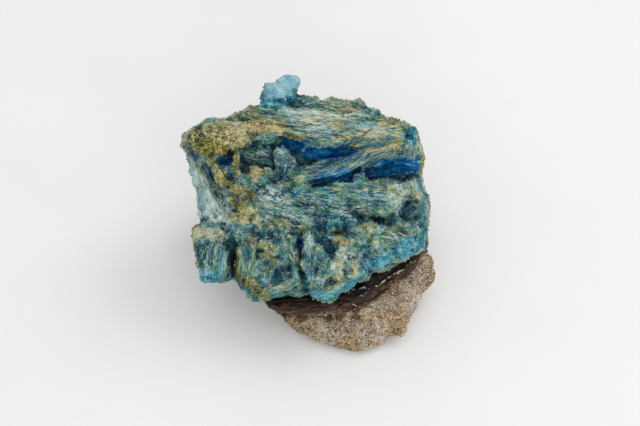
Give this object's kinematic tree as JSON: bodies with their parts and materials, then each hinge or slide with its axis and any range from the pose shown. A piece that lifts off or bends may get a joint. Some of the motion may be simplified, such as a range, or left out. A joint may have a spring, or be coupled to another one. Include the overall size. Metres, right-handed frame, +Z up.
{
  "type": "chalcanthite specimen on matrix rock",
  "caption": "Hand specimen of blue chalcanthite: fibrous, crusted crystal mass grown on sandstone, with a brown glassy layer between, resting on the rock's flat break.",
  "frame": {"origin": "on the flat break under the rock, below the middle of the whole specimen's box", "axes": "+X to the right along the longest side, +Z up, and the broad crystal face looks up and forward, towards -Y"},
  "size_m": [0.0766, 0.0684, 0.0528],
  "materials": {
    "blue_crystal": "blue to teal crystal, fibrous and crusted with ochre, satin in the hollows",
    "brown_glass": "dark brown to black, wet-looking gloss",
    "sandstone": "grey-brown sandy rock, matt and grainy"
  },
  "bodies": {
    "root": {"chalcanthite_mass": "blue_crystal", "brown_glassy_layer": "brown_glass", "matrix_rock": "sandstone"}
  },
  "joints": []
}
